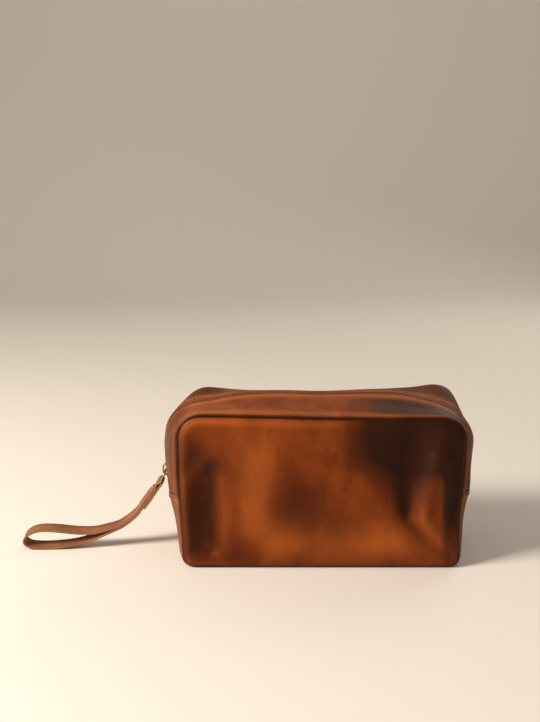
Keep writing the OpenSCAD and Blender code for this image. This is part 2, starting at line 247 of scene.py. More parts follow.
def panel_face(x, z, depth=0):
    """The outside of the front panel over a place, or a layer at a depth under it."""
    gap = max(edge_distance(x, z), 0)
    rise = roll_h * math.sqrt(1 - (1 - min(gap / roll, 1)) ** 2)
    rise += pillow_h * (1 - math.exp(-gap / (26 * MM)))
    return Vector((x, -half_depth - rise + depth, z))


def sheet_of_points(name, across, along, place, from_seam=None):
    """A grid with a point for each pair of values, moved to where place says.

    Each point keeps its distance from the seam in millimetres, where from_seam gives it."""
    columns, rows = len(across) - 1, len(along) - 1
    bpy.ops.object.select_all(action="DESELECT")
    bpy.ops.mesh.primitive_grid_add(x_subdivisions=columns, y_subdivisions=rows, size=1)
    sheet = bpy.context.object
    sheet.name = name
    if from_seam:
        kept = sheet.data.attributes.new("from_seam", "FLOAT", "POINT")
    for vertex in sheet.data.vertices:
        i = round((vertex.co.x + 0.5) * columns)
        j = round((vertex.co.y + 0.5) * rows)
        vertex.co = place(across[i], along[j])
        if from_seam:
            kept.data[vertex.index].value = from_seam(across[i], along[j]) / MM
    return sheet


def steps(count, low=0.0, high=1.0):
    """Evenly spaced values from low to high."""
    return [low + (high - low) * i / count for i in range(count + 1)]


def panel_rows():
    """Heights of the panel's rows of points: close together in its round corners."""
    top_r, low_r = head_r - seam_in, foot_r - seam_here(0)
    low = [foot_r - low_r * math.cos(math.radians(a)) for a in range(0, 90, 9)]
    high = [panel_top - head_r + top_r * math.sin(math.radians(a)) for a in range(6, 91, 6)]
    return low + steps(46, foot_r, panel_top - head_r) + high


def panel_columns():
    """Places across the panel from -1 to 1: close together at its two ends."""
    ends = [0.0, 0.002, 0.005, 0.009, 0.014, 0.021, 0.030, 0.041, 0.054, 0.07]
    left = [-1 + e for e in ends]
    return left + steps(84, -0.93, 0.93)[1:-1] + [-v for v in reversed(left)]


bag_middle = Vector((0, 0, 60 * MM))


def faces_out(piece, middle=bag_middle):
    """Turns a sheet over if its faces look towards the inside of the bag."""
    looks = sum((p.center - middle).dot(p.normal) * p.area for p in piece.data.polygons)
    if looks < 0:
        bpy.ops.object.select_all(action="DESELECT")
        bpy.context.view_layer.objects.active = piece
        piece.select_set(True)
        bpy.ops.object.mode_set(mode="EDIT")
        bpy.ops.mesh.select_all(action="SELECT")
        bpy.ops.mesh.flip_normals()
        bpy.ops.object.mode_set(mode="OBJECT")


def apply_all(piece):
    """Applies a piece's modifiers, with nothing else selected."""
    bpy.ops.object.select_all(action="DESELECT")
    bpy.context.view_layer.objects.active = piece
    piece.select_set(True)
    for modifier in list(piece.modifiers):
        bpy.ops.object.modifier_apply(modifier=modifier.name)


def thicken(piece, thickness, edge_round=0.0, levels=0):
    """Gives a sheet its thickness inwards, rounds its rim and smooths it."""
    solid = piece.modifiers.new("thickness", "SOLIDIFY")
    solid.thickness = thickness
    solid.offset = -1
    if edge_round:
        bevel = piece.modifiers.new("rim", "BEVEL")
        bevel.width = edge_round
        bevel.segments = 2
        bevel.limit_method = "ANGLE"
        bevel.angle_limit = math.radians(60)
    if levels:
        soft = piece.modifiers.new("smooth", "SUBSURF")
        soft.levels = soft.render_levels = levels
    apply_all(piece)
    bpy.ops.object.shade_smooth_by_angle(angle=math.radians(50))


def mark(piece, name, value):
    """Keeps a number at each point of a piece for its material to read."""
    attribute = piece.data.attributes.new(name, "FLOAT", "POINT")
    gaps = piece.data.attributes.get("from_seam")
    for vertex, item in zip(piece.data.vertices, attribute.data):
        item.value = value(vertex.co, gaps.data[vertex.index].value) if gaps else value(vertex.co)


def make_panel(name, side):
    """The front panel, or with side = 1 the back panel."""
    def place(a, z):
        point = panel_face(a * panel_half(z), z)
        if side > 0:
            point.y = -point.y
        return soften(point)
    panel = sheet_of_points(name, panel_columns(), panel_rows(), place,
                            lambda a, z: edge_distance(a * panel_half(z), z))
    faces_out(panel)
    thicken(panel, leather_t, levels=1)
    return panel


# Node helpers and the two leather groups: tone puts out the colour, grain the height and shine.
def add_node(tree, kind, **settings):
    """Adds a node and sets its inputs and its properties by name."""
    node = tree.nodes.new(kind)
    for key, value in settings.items():
        if key in node.inputs:
            node.inputs[key].default_value = value
        else:
            setattr(node, key, value)
    return node


def new_group(name, inputs, outputs):
    """An empty shader group with named sockets, and its two end nodes."""
    group = bpy.data.node_groups.new(name, "ShaderNodeTree")
    for label, kind, value in inputs:
        socket = group.interface.new_socket(label, in_out="INPUT", socket_type=kind)
        if value is not None:
            socket.default_value = value
    for label, kind in outputs:
        group.interface.new_socket(label, in_out="OUTPUT", socket_type=kind)
    return group, group.nodes.new("NodeGroupInput"), group.nodes.new("NodeGroupOutput")


def noise_node(tree, vector, scale, detail=2.0, roughness=0.5, distortion=0.0):
    """A noise at a place, from 0 to 1."""
    node = add_node(tree, "ShaderNodeTexNoise", Scale=scale, Detail=detail,
                    Roughness=roughness, Distortion=distortion)
    tree.links.new(vector, node.inputs["Vector"])
    return node.outputs["Fac"]


def spread(tree, value, low, high, to_low=0.0, to_high=1.0):
    """Maps a value's range onto another with a soft step."""
    node = add_node(tree, "ShaderNodeMapRange", interpolation_type="SMOOTHSTEP")
    node.inputs["From Min"].default_value = low
    node.inputs["From Max"].default_value = high
    node.inputs["To Min"].default_value = to_low
    node.inputs["To Max"].default_value = to_high
    tree.links.new(value, node.inputs["Value"])
    return node.outputs["Result"]


def mix_colour(tree, factor, first, second, mode="MIX"):
    """Mixes two colours: each is a socket or a fixed colour, and so is the factor."""
    node = tree.nodes.new("ShaderNodeMix")
    node.data_type = "RGBA"
    node.blend_type = mode
    for value, socket in ((factor, node.inputs[0]), (first, node.inputs[6]), (second, node.inputs[7])):
        if isinstance(value, bpy.types.NodeSocket):
            tree.links.new(value, socket)
        else:
            socket.default_value = value
    return node.outputs[2]


def combine(tree, operation, first, second):
    """One sum or product: each side is a socket or a fixed number."""
    node = add_node(tree, "ShaderNodeMath", operation=operation)
    for value, socket in ((first, node.inputs[0]), (second, node.inputs[1])):
        if isinstance(value, bpy.types.NodeSocket):
            tree.links.new(value, socket)
        else:
            socket.default_value = value
    return node.outputs[0]


# Pull-up leather: oils darken it where it lies flat and it turns pale where it bends or rubs. The wear
# input also carries painted highlights, and the stain input painted shade and painted shadow.
tone, tone_in, tone_out = new_group("leather_tone", [
    ("Place", "NodeSocketVector", None), ("Deep", "NodeSocketColor", None),
    ("Body", "NodeSocketColor", None), ("Pale", "NodeSocketColor", None),
    ("Wear_and_highlight", "NodeSocketFloat", 0.0), ("Stain_and_shade", "NodeSocketFloat", 0.0)],
    [("Color", "NodeSocketColor")])
place_in = tone_in.outputs["Place"]
cloud = noise_node(tone, place_in, 19, 3, 0.5, 0.5)
patch = spread(tone, cloud, 0.36, 0.66)
streaks = add_node(tone, "ShaderNodeMapping")
streaks.inputs["Scale"].default_value = (30, 30, 13)
tone.links.new(place_in, streaks.inputs["Vector"])
streak = spread(tone, noise_node(tone, streaks.outputs["Vector"], 1, 4, 0.6, 0.3), 0.46, 0.74)
dots = spread(tone, noise_node(tone, place_in, 240, 4, 0.62), 0.42, 0.72)
marks = add_node(tone, "ShaderNodeMapping")
marks.inputs["Rotation"].default_value = (0.2, 0.5, 0.3)
marks.inputs["Scale"].default_value = (60, 300, 900)
tone.links.new(place_in, marks.inputs["Vector"])
scratch = spread(tone, noise_node(tone, marks.outputs["Vector"], 1, 2, 0.5), 0.69, 0.80)
darker = mix_colour(tone, 1.0, tone_in.outputs["Body"], (0.58, 0.50, 0.45, 1), "MULTIPLY")
base = mix_colour(tone, patch, darker, tone_in.outputs["Body"])
base = mix_colour(tone, combine(tone, "MULTIPLY", streak, 0.30), base, tone_in.outputs["Pale"])
base = mix_colour(tone, combine(tone, "MULTIPLY", dots, 0.14), base, tone_in.outputs["Deep"])
base = mix_colour(tone, combine(tone, "MULTIPLY", scratch, 0.25), base, tone_in.outputs["Pale"])
# pale from rubbed wear and from painted highlights
wear_and_highlight_mix = combine(tone, "MULTIPLY", tone_in.outputs["Wear_and_highlight"],
               combine(tone, "ADD", combine(tone, "MULTIPLY", cloud, 0.9), 0.35))
base = mix_colour(tone, wear_and_highlight_mix, base, tone_in.outputs["Pale"])
# dark from stains and from painted shade and painted shadow
base = mix_colour(tone, tone_in.outputs["Stain_and_shade"], base, tone_in.outputs["Deep"])
tone.links.new(base, tone_out.inputs["Color"])

# The grain: fine pebbles with hair-fine creases, and a shine that varies with them
grain, grain_in, grain_out = new_group("leather_grain", [
    ("Place", "NodeSocketVector", None), ("Pebble", "NodeSocketFloat", 1100.0)],
    [("Height", "NodeSocketFloat"), ("Roughness", "NodeSocketFloat")])
pebble = add_node(grain, "ShaderNodeTexVoronoi", feature="SMOOTH_F1")
grain.links.new(grain_in.outputs["Place"], pebble.inputs["Vector"])
grain.links.new(grain_in.outputs["Pebble"], pebble.inputs["Scale"])
fine = noise_node(grain, grain_in.outputs["Place"], 1900, 3, 0.6)
crease = noise_node(grain, grain_in.outputs["Place"], 170, 5, 0.62, 1.2)
height = combine(grain, "ADD", combine(grain, "MULTIPLY", pebble.outputs["Distance"], 0.55),
                 combine(grain, "MULTIPLY", fine, 0.35))
height = combine(grain, "ADD", height, combine(grain, "MULTIPLY", crease, 1.1))
crumple = noise_node(grain, grain_in.outputs["Place"], 48, 4, 0.55, 0.8)
height = combine(grain, "ADD", height, combine(grain, "MULTIPLY", crumple, 4.0))
grain.links.new(height, grain_out.inputs["Height"])
shine = spread(grain, noise_node(grain, grain_in.outputs["Place"], 60, 4, 0.6), 0.3, 0.75, 0.42, 0.60)
grain.links.new(shine, grain_out.inputs["Roughness"])


def leather_material(name, deep, body, pale, bump_height=0.22 * MM):
    """Leather in three tones, with its grain raised to a height."""
    material = bpy.data.materials.new(name)
    material.use_nodes = True
    tree = material.node_tree
    skin = tree.nodes["Principled BSDF"]
    where = tree.nodes.new("ShaderNodeTexCoord").outputs["Object"]
    colour = tree.nodes.new("ShaderNodeGroup")
    colour.node_tree = tone
    relief = tree.nodes.new("ShaderNodeGroup")
    relief.node_tree = grain
    for group in (colour, relief):
        tree.links.new(where, group.inputs["Place"])
    for label, value in (("Deep", deep), ("Body", body), ("Pale", pale)):
        colour.inputs[label].default_value = (*value, 1)
    # the wear attribute holds rubbed wear and painted highlights, the stain attribute stains, painted
    # shade and painted shadow
    for label in ("Wear_and_highlight", "Stain_and_shade"):
        attribute = add_node(tree, "ShaderNodeAttribute", attribute_name=label.lower())
        tree.links.new(attribute.outputs["Fac"], colour.inputs[label])
    raised = add_node(tree, "ShaderNodeBump", Strength=0.55, Distance=bump_height)
    tree.links.new(relief.outputs["Height"], raised.inputs["Height"])
    tree.links.new(raised.outputs["Normal"], skin.inputs["Normal"])
    tree.links.new(colour.outputs["Color"], skin.inputs["Base Color"])
    tree.links.new(relief.outputs["Roughness"], skin.inputs["Roughness"])
    skin.inputs["Specular IOR Level"].default_value = 0.09
    skin.inputs["Coat Weight"].default_value = 0.04
    skin.inputs["Coat Roughness"].default_value = 0.34
    return material


panel_leather = leather_material("panel_leather", (0.012, 0.003, 0.0005), (0.185, 0.033, 0.002),
                                 (0.40, 0.094, 0.015))


def panel_wear_and_painted_highlight(point, edge):
    """Rubbed pale along the rounded edge, and painted highlight on the folds that stand out and face the
    light.
    """
    x, z = point.x / MM, point.z / MM
    fold = 0.45 * bump(edge, 4.5, 3) * smooth(60, -20, x) * smooth(70, 110, z)
    # the pale on the middle ridge, the right ridge and the lower bulge is painted highlight
    fold += 0.55 * trough(x, z, (-53, 86), (-52, 42), 17) + 0.3 * bump(edge, 3.5, 2) * smooth(-60, -100, x)
    fold += 0.12 * trough(x, z, (94, 84), (84, 46), 8) + 0.3 * trough(x, z, (84, 38), (100, 12), 8)
    fold += 0.6 * trough(x, z, (-34, 21), (60, 19), 14)
    return min(fold, 1)


def panel_seam_dye_and_painted_shade(point, edge):
    """Dark edge dye and painted shade in the seam groove, painted shade in the hollows and along the right
    end, a painted shadow over the upper right, and a darker patch in the middle.
    """
    x, z = point.x / MM, point.z / MM
    # painted shade in the left hollow and beside the left edge
    dark = 0.72 * trough(x, z, (-90, 84), (-89, 26), 9) + 0.6 * trough(x, z, (-108, 100), (-107, 16), 11)
    # painted shade in the V-shaped hollow
    dark += 0.80 * trough(x, z, (70, 104), (69, 50), 34, 9)
    # painted shadow over the upper right
    dark += 0.6 * smooth(4, 40, x) * smooth(66, 94, z)
    # painted shade where the right end turns away from the light
    dark += 1.0 * smooth(94, 103, x) * bump(z, 62, 46)
    dark += 0.3 * trough(x, z, (92, 84), (86, 50), 8) + 0.4 * trough(x, z, (68, 40), (102, 8), 6)
    dark += 0.42 * trough(x, z, (-12, 52), (6, 34), 24)
    return min(max(0.95 * smooth(1.7, 0.2, edge), min(dark, 0.9)), 1)


front_panel = make_panel("front_panel", -1)
mark(front_panel, "wear_and_highlight", panel_wear_and_painted_highlight)
mark(front_panel, "stain_and_shade", panel_seam_dye_and_painted_shade)
front_panel.data.materials.append(panel_leather)
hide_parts("front_panel_lower", "front_panel_upper")

# Two heights, at the base's fold and at the top of the zip; no piece is bent by them here
bend_from, bend_to = (0, 0, fold_z), (0, 0, zip_top)
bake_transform(front_panel)
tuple(bend_from)
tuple(bend_to)

# ---------------------------------------------------------------- back panel
# The same piece again at the back, with softer dents of its own.

back_panel = make_panel("back_panel", 1)


def back_wear(point, edge):
    """Rubbed pale along the edge and over the middle."""
    x, z = point.x / MM, point.z / MM
    return min(0.5 * bump(edge, 4, 3.5) + 0.4 * trough(x, z, (10, 90), (20, 30), 22), 1)


def back_seam_dye_and_painted_shade(point, edge):
    """Dark edge dye and painted shade in the seam, and painted shade in the two hollows."""
    x, z = point.x / MM, point.z / MM
    hollow = 0.5 * trough(x, z, (60, 96), (48, 40), 15, 9) + 0.4 * trough(x, z, (-84, 90), (-70, 30), 12)
    return min(0.9 * smooth(1.6, 0, edge) + hollow, 1)


mark(back_panel, "wear_and_highlight", back_wear)
mark(back_panel, "stain_and_shade", back_seam_dye_and_painted_shade)
back_panel.data.materials.append(panel_leather)
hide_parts("back_panel_lower", "back_panel_upper")
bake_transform(back_panel)
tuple(bend_from)
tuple(bend_to)

# ---------------------------------------------------------------- zip strips
# Two long leather strips run up the left end, over the top and down the right end, one on each
# side of the zip. The outer edge is sewn into the panel's seam and the free edge, 5 mm from the
# zip's middle, is cut raw and stitched down to the tape.

end_half, middle_foot, middle_head = 127.95 * MM, 117 * MM, 134 * MM
zip_r, seam_r = 38 * MM, 20 * MM
LEG, BEND = 0.2, 0.15     # shares of an edge line: each straight end, and each corner


def rounded_line(points, radius):
    """The line through four points with its two middle corners rounded, over 0 to 1."""
    a, b, c, d = (Vector(p) for p in points)

    def corner(p, q, r):
        to_p, to_r = (p - q).normalized(), (r - q).normalized()
        half = math.acos(to_p.dot(to_r)) / 2
        centre = q + (to_p + to_r).normalized() * (radius / math.sin(half))
        arm = q + to_p * (radius / math.tan(half)) - centre
        last = q + to_r * (radius / math.tan(half)) - centre
        return centre, arm, math.atan2(arm.x * last.y - arm.y * last.x, arm.dot(last))

    def on_arc(arc, share):
        centre, arm, turn = arc
        c_, s_ = math.cos(turn * share), math.sin(turn * share)
        return centre + Vector((arm.x * c_ - arm.y * s_, arm.x * s_ + arm.y * c_))

    first, second = corner(a, b, c), corner(b, c, d)

    def at(s):
        if s <= LEG:
            return a.lerp(on_arc(first, 0), s / LEG)
        if s <= LEG + BEND:
            return on_arc(first, (s - LEG) / BEND)
        if s < 1 - LEG - BEND:
            return on_arc(first, 1).lerp(on_arc(second, 0), (s - LEG - BEND) / (1 - 2 * (LEG + BEND)))
        if s < 1 - LEG:
            return on_arc(second, (s - 1 + LEG + BEND) / BEND)
        return on_arc(second, 1).lerp(d, (s - 1 + LEG) / LEG)
    return at


seam_at_fold = foot_half + (head_half - foot_half) * fold_z / panel_top
over_seam = rounded_line([(-seam_at_fold, fold_z), (-head_half, panel_top),
                          (head_half, panel_top), (seam_at_fold, fold_z)], seam_r)
over_zip = rounded_line([(-end_half, fold_z), (-middle_head, zip_top),
                         (middle_head, zip_top), (end_half, fold_z)], zip_r)


def outward(line, s):
    """The direction out of the bag, across an edge line."""
    ahead = line(min(s + 0.002, 1)) - line(max(s - 0.002, 0))
    side = Vector((-ahead.y, ahead.x)).normalized()
    here = line(s) - Vector((0, bag_middle.z))
    return side if side.dot(here) > 0 else -side


def strip_hollow(x, z, y, side):
    """How far a strip falls in beside its ridge, in millimetres, and stands up by the zip."""
    above = smooth(59, 76, z)
    ridge = bump(abs(y), 6.2, 4.2) * smooth(97, 116, z) * (1 - smooth(100, 124, x))
    if side < 0:
        fall = 3.0 * bump(abs(y), 26.5, 10.5) * smooth(20, 80, x) * above
        return 0.5 * bump(abs(y), 31, 9) + fall - 1.8 * ridge
    return bump(abs(y), 31, 9) * (0.6 + 0.8 * smooth(0, -80, x)) * above - 0.4 * ridge


def gusset_point(edge, middle, s, v, side=0, hollow=0.0):
    """A point of the swollen gusset before it sags: s along it, v from -1 to 1 across it.

    Past -1 and 1 it is the seam allowance, turned in behind the panel's edge."""
    seam, crest = edge(s), middle(s)
    turned_in = half_depth * max(abs(v) - 1, 0)
    v = min(max(v, -1), 1)
    k = 1 - abs(v) ** 2.3
    flat = seam.lerp(crest, k)
    gap = half_depth * (1 - abs(v))
    tuck = 3.2 * MM
    inset = seam_here(flat.y) * (1 - math.sqrt(1 - (1 - min(gap / tuck, 1)) ** 2)) + turned_in
    if hollow:
        inset += hollow * strip_hollow(flat.x / MM, flat.y / MM, v * half_depth / MM, side) * MM
    flat = flat - outward(edge, s) * inset
    return Vector((flat.x, v * half_depth, flat.y))


def framed(face, s, v, middle, depth=0.0):
    """A place on a soft surface, moved in by a depth, with its directions along, across and out."""
    here = face(s, v)
    along = (face(s + 0.003, v) - face(s - 0.003, v)).normalized()
    out = along.cross(face(s, v + 0.02) - face(s, v - 0.02)).normalized()
    if out.dot(here - middle) < 0:
        out = -out
    return here - out * depth, along, out.cross(along), out


def join_height(x, v):
    """The height at which the bottom gusset laps over the strips: it dips towards the zip."""
    if x < 0:
        return fold_z + (-5.5 + 11.5 * abs(v) ** 1.6) * MM
    return fold_z + (0.3 + 5.4 * abs(v) ** 1.6) * MM


def over_face(s, v):
    """The outside of the zip strips on the soft bag: s along the zip, v across it from -1 to 1."""
    raw = gusset_point(over_seam, over_zip, s, v, -1 if v < 0 else 1, 1.0)
    join = join_height(raw.x, v)
    tuck = 1.25 * smooth(join + 1 * MM, join - 1.2 * MM, raw.z)
    tuck += 0.8 * smooth(join - 1 * MM, join - 6 * MM, raw.z) + 0.13 * max(fold_z - raw.z, 0) / MM
    raw.x -= math.copysign(tuck * MM, raw.x)
    return soften(raw)


def over_point(s, v, depth=0.0):
    """A point of the strips' surface, or of a layer at a depth under it."""
    return framed(over_face, s, v, bag_middle, depth)[0] if depth else over_face(s, v)


strip_t = 1.0 * MM        # the strips are skived thin where they are turned and sewn
stitch_gap = 8.3 * MM


def strip_columns():
    """Distances across a strip from its seam to its free edge: close where it turns or is sewn."""
    by_zip = [45, 44.4, 43.7, 43, 42.5, 42, 41.5, 40.8, 40, 38.5, 36.5]
    between = [34, 31, 27.5, 24, 20.5, 17, 14, 11]
    by_seam = [8.5, 6.5, 4.8, 3.4, 2.4, 1.6, 1.0, 0.5, 0.2, 0, -1.2, -2.6]
    return [g * MM for g in reversed(by_zip + between + by_seam)]


strip_under = 0.048       # share of the edge line by which the strips run on under the gusset


def strip_rows():
    """Shares of the edge line for a strip's rows of points: close together at its ends and bends."""
    hidden = (0.12, 0.25, 0.4, 0.55, 0.7, 0.85, 1)
    bend_end = LEG + BEND
    return ([-strip_under * f for f in reversed(hidden)]
            + steps(30, 0, LEG)[:-1] + steps(16, LEG, bend_end)[:-1]
            + steps(60, bend_end, 1 - bend_end)[:-1]
            + steps(16, 1 - bend_end, 1 - LEG)[:-1] + steps(30, 1 - LEG, 1)
            + [1 + strip_under * f for f in hidden])


def make_strip(name, side):
    """One zip strip, pulled down by its stitches and along its free edge."""
    def place(gap, s):
        v = side * (1 - gap / half_depth)
        point = over_point(s, v)
        from_zip = (half_depth - gap) / MM
        pull = 0.4 * bump(from_zip, stitch_gap / MM, 0.8) + 0.6 * smooth(7.4, 5, from_zip)
        return over_point(s, v, pull * MM) if pull > 0.02 else point
    strip = sheet_of_points(name, strip_columns(), strip_rows(), place, lambda gap, s: gap)
    faces_out(strip)
    thicken(strip, strip_t, edge_round=0.25 * MM, levels=1)
    return strip


strip_leather = leather_material("strip_leather", (0.030, 0.009, 0.003), (0.235, 0.054, 0.010),
                                 (0.42, 0.130, 0.038))


def strip_wear_and_painted_highlight(point, gap):
    """Pale along the ridge by the stitches, partly wear and partly painted highlight, and rubbed pale on
    the raw edge.
    """
    y = half_depth / MM - gap
    return min(0.55 * bump(y, 11, 5) + 0.5 * bump(y, 46, 3) + 0.25 * bump(y, 5, 1.2), 1)


def strip_seam_dye_and_painted_shadow(point, gap):
    """Dark edge dye and painted shade in the seam, darker in the row of stitches, a painted shadow over
    the right-hand end that eases near the zip at the very end, painted shade over the front strip's left
    end and darker over the back strip's left end.
    """
    x, y = point.x / MM, half_depth / MM - gap
    row = 0.6 * bump(y, stitch_gap / MM, 0.7) + 0.4 * bump(y, 5, 0.9)
    # painted shadow over the right-hand end, and painted shade over the front strip's left end
    right = (0.9 if point.y < 0 else 0.65) * smooth(5, 62, x) * smooth(8, 20, y) * smooth(50, 44, y)
    right *= 1 - 0.6 * smooth(113, 125, x) * smooth(40, 22, y)
    left = 0.5 * smooth(-104, -118, x) if point.y < 0 else 0.6 * smooth(-50, -92, x) * smooth(9, 24, y)
    return min(0.95 * smooth(48.4, 50, y) + row + max(right, left), 1)


for side, leaf in ((-1, "front"), (1, "back")):
    strip = make_strip(leaf + "_zip_strip_leather", side)
    mark(strip, "wear_and_highlight", strip_wear_and_painted_highlight)
    mark(strip, "stain_and_shade", strip_seam_dye_and_painted_shadow)
    strip.data.materials.append(strip_leather)
    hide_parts(leaf + "_zip_strip")
    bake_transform(strip)
    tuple(bend_from)
    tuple(bend_to)

# ---------------------------------------------------------------- bottom gusset
# One long piece of leather round the base and up both ends to the zip. Its top edges are turned
# under and lap over the ends of the zip strips, a little higher at the right end.

under_seam = rounded_line([(-seam_at_fold, fold_z), (-foot_half, 0), (foot_half, 0),
                           (seam_at_fold, fold_z)], foot_r)
under_middle = rounded_line([(-end_half, fold_z), (-middle_foot, 0), (middle_foot, 0),
                             (end_half, fold_z)], foot_r + middle_foot - foot_half)
lap = 0.25 * MM           # how far the gusset's lapped edge stands over the strips
lap_share = 0.03          # share of its edge line over which it rises to that


def under_face(s, v):
    """The outside of the bottom gusset on the soft bag: s along it from the left end, v across it."""
    raw = gusset_point(under_seam, under_middle, s, v)
    over = smooth(lap_share, 0.0, min(s, 1 - s))
    raw.x += math.copysign(lap * over, raw.x)
    raw.z += (join_height(raw.x, v) - fold_z) * smooth(0.14, 0, min(s, 1 - s))
    return soften(raw)


under_centre = Vector((0, 0, 30 * MM))


def under_point(s, v, depth=0.0):
    """A point of the bottom gusset's surface, or of a layer at a depth under it."""
    return framed(under_face, s, v, under_centre, depth)[0] if depth else under_face(s, v)


gusset_across = [-2.6, -1.2, 0, 0.2, 0.5, 1, 1.6, 2.4, 3.4, 4.8, 6.5, 8.5, 11, 14, 18, 22, 27, 32, 38, 44]
from_edge = [1 - g * MM / half_depth for g in gusset_across]
gusset_columns = [-share for share in from_edge] + [0] + from_edge[::-1]
by_join = [0, 0.004, 0.01, 0.018, 0.028, 0.04, 0.055]
bend_end = LEG + BEND
gusset_rows = (by_join + steps(14, 0.07, LEG)
               + steps(12, LEG, bend_end)[1:-1] + steps(40, bend_end, 1 - bend_end)
               + steps(12, 1 - bend_end, 1 - LEG)[1:-1] + steps(14, 1 - LEG, 0.93)
               + [1 - share for share in reversed(by_join)])
bottom_gusset = sheet_of_points("bottom_gusset_leather", gusset_columns, gusset_rows,
                                lambda v, s: under_point(s, v), lambda v, s: half_depth * (1 - abs(v)))
faces_out(bottom_gusset)
thicken(bottom_gusset, leather_t, edge_round=0.4 * MM, levels=1)
mark(bottom_gusset, "wear_and_highlight",
     lambda point, gap: min(0.6 * bump(point.z / MM, 53, 3) + 0.4 * bump(gap, 4, 3), 1))
# darker all over, with dark edge dye and painted shade in the seam
mark(bottom_gusset, "stain_and_shade", lambda point, gap: 0.35 + 0.6 * smooth(1.5, 0, gap))
bottom_gusset.data.materials.append(strip_leather)
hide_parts("bottom_gusset")
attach(bottom_gusset, "root")

# ---------------------------------------------------------------- linings
# A bag of plain woven cotton, 0.4 mm thick, hangs loose inside the leather. Its panels, its base and
# its strips are sewn into the same seams, and the strips stop beside the zip's tapes.

lining_in, lining_t = 2.75 * MM, 0.4 * MM

weave, weave_in, weave_out = new_group("woven_cloth", [
    ("Place", "NodeSocketVector", None), ("Threads", "NodeSocketFloat", 900.0)],
    [("Height", "NodeSocketFloat"), ("Slub", "NodeSocketFloat")])
threads = []
for axis in ("X", "Y", "Z"):
    band = add_node(weave, "ShaderNodeTexWave", wave_type="BANDS", bands_direction=axis,
                    Distortion=1.2, Detail=1.0)
    weave.links.new(weave_in.outputs["Place"], band.inputs["Vector"])
    weave.links.new(weave_in.outputs["Threads"], band.inputs["Scale"])
    threads.append(band.outputs["Fac"])
total = combine(weave, "ADD", combine(weave, "ADD", threads[0], threads[1]), threads[2])
weave.links.new(total, weave_out.inputs["Height"])
slub = spread(weave, noise_node(weave, weave_in.outputs["Place"], 420, 3, 0.6), 0.35, 0.7)
weave.links.new(slub, weave_out.inputs["Slub"])


def cloth_material(name, low, high, threads_per_metre, roughness, sheen):
    """Woven cloth whose threads vary between two tones."""
    material = bpy.data.materials.new(name)
    material.use_nodes = True
    tree = material.node_tree
    cloth = tree.nodes["Principled BSDF"]
    group = tree.nodes.new("ShaderNodeGroup")
    group.node_tree = weave
    group.inputs["Threads"].default_value = threads_per_metre
    tree.links.new(tree.nodes.new("ShaderNodeTexCoord").outputs["Object"], group.inputs["Place"])
    tree.links.new(mix_colour(tree, group.outputs["Slub"], (*low, 1), (*high, 1)),
                   cloth.inputs["Base Color"])
    raised = add_node(tree, "ShaderNodeBump", Strength=0.6, Distance=0.2 * MM)
    tree.links.new(group.outputs["Height"], raised.inputs["Height"])
    tree.links.new(raised.outputs["Normal"], cloth.inputs["Normal"])
    cloth.inputs["Roughness"].default_value = roughness
    cloth.inputs["Sheen Weight"].default_value = sheen
    return material


lining_cotton = cloth_material("lining_cotton", (0.50, 0.42, 0.32), (0.66, 0.57, 0.45), 260, 0.9, 0.2)
lining_edge = 0.5 * MM


def lining_panel_place(side):
    """Where a panel's lining lies, for the front or with side = 1 for the back."""
    def place(a, b):
        z = seam_in + lining_edge + (panel_top - 2 * (seam_in + lining_edge)) * b
        point = panel_face(a * (panel_half(z) - lining_edge), z, lining_in)
        if side > 0:
            point.y = -point.y
        return soften(point)
    return place


for side, leaf in ((-1, "front"), (1, "back")):
    cloth = sheet_of_points("lining_" + leaf, steps(60, -1, 1), steps(36), lining_panel_place(side))
    faces_out(cloth)
    thicken(cloth, lining_t)
    cloth.data.materials.append(lining_cotton)
    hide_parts(f"lining_{leaf}_lower", f"lining_{leaf}_upper")
    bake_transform(cloth)
    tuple(bend_from)
    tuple(bend_to)

lining_turn = 0.976       # share across the gusset at which the lining turns out


def lining_point(surface, s, v, depth):
    """A point of the lining under a leather surface: its edges run straight out to the panels."""
    held = max(min(v, lining_turn), -lining_turn)
    point = surface(s, held, depth)
    point.y += (v - held) * half_depth
    return point


strip_lining_across = [1 - g * MM / half_depth for g in (-1, 0, 1.2, 2.5, 5, 9, 14, 20, 26, 32, 38, 42.4)]
for side, leaf in ((-1, "front"), (1, "back")):
    cloth = sheet_of_points(f"lining_{leaf}_strip_cloth", [side * share for share in strip_lining_across],
                            steps(156, -0.04, 1.04),
                            lambda v, s: lining_point(over_point, s, v, lining_in))
    faces_out(cloth)
    thicken(cloth, lining_t)
    cloth.data.materials.append(lining_cotton)
    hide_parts(f"lining_{leaf}_strip")
    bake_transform(cloth)
    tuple(bend_from)
    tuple(bend_to)

under_strips = 0.45 * MM  # how far the base's lining lies under the strips' lining where they meet
base_across = [-1.02, -1] + steps(32, -lining_turn, lining_turn) + [1, 1.02]
base_cloth = sheet_of_points("lining_bottom_cloth", base_across, steps(110, 0.03, 0.97),
                             lambda v, s: lining_point(under_point, s, v, lining_in + under_strips))
faces_out(base_cloth)
thicken(base_cloth, lining_t)
base_cloth.data.materials.append(lining_cotton)
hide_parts("lining_bottom_gusset")
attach(base_cloth, "root")

# ---------------------------------------------------------------- zip tapes
# A woven tape under each strip's raw edge, with a corded edge that the teeth are clamped on.

tape_in, tape_t = 1.75 * MM, 0.7 * MM
tape_weave = cloth_material("tape_weave", (0.045, 0.022, 0.012), (0.10, 0.052, 0.030), 700, 0.75, 0.03)

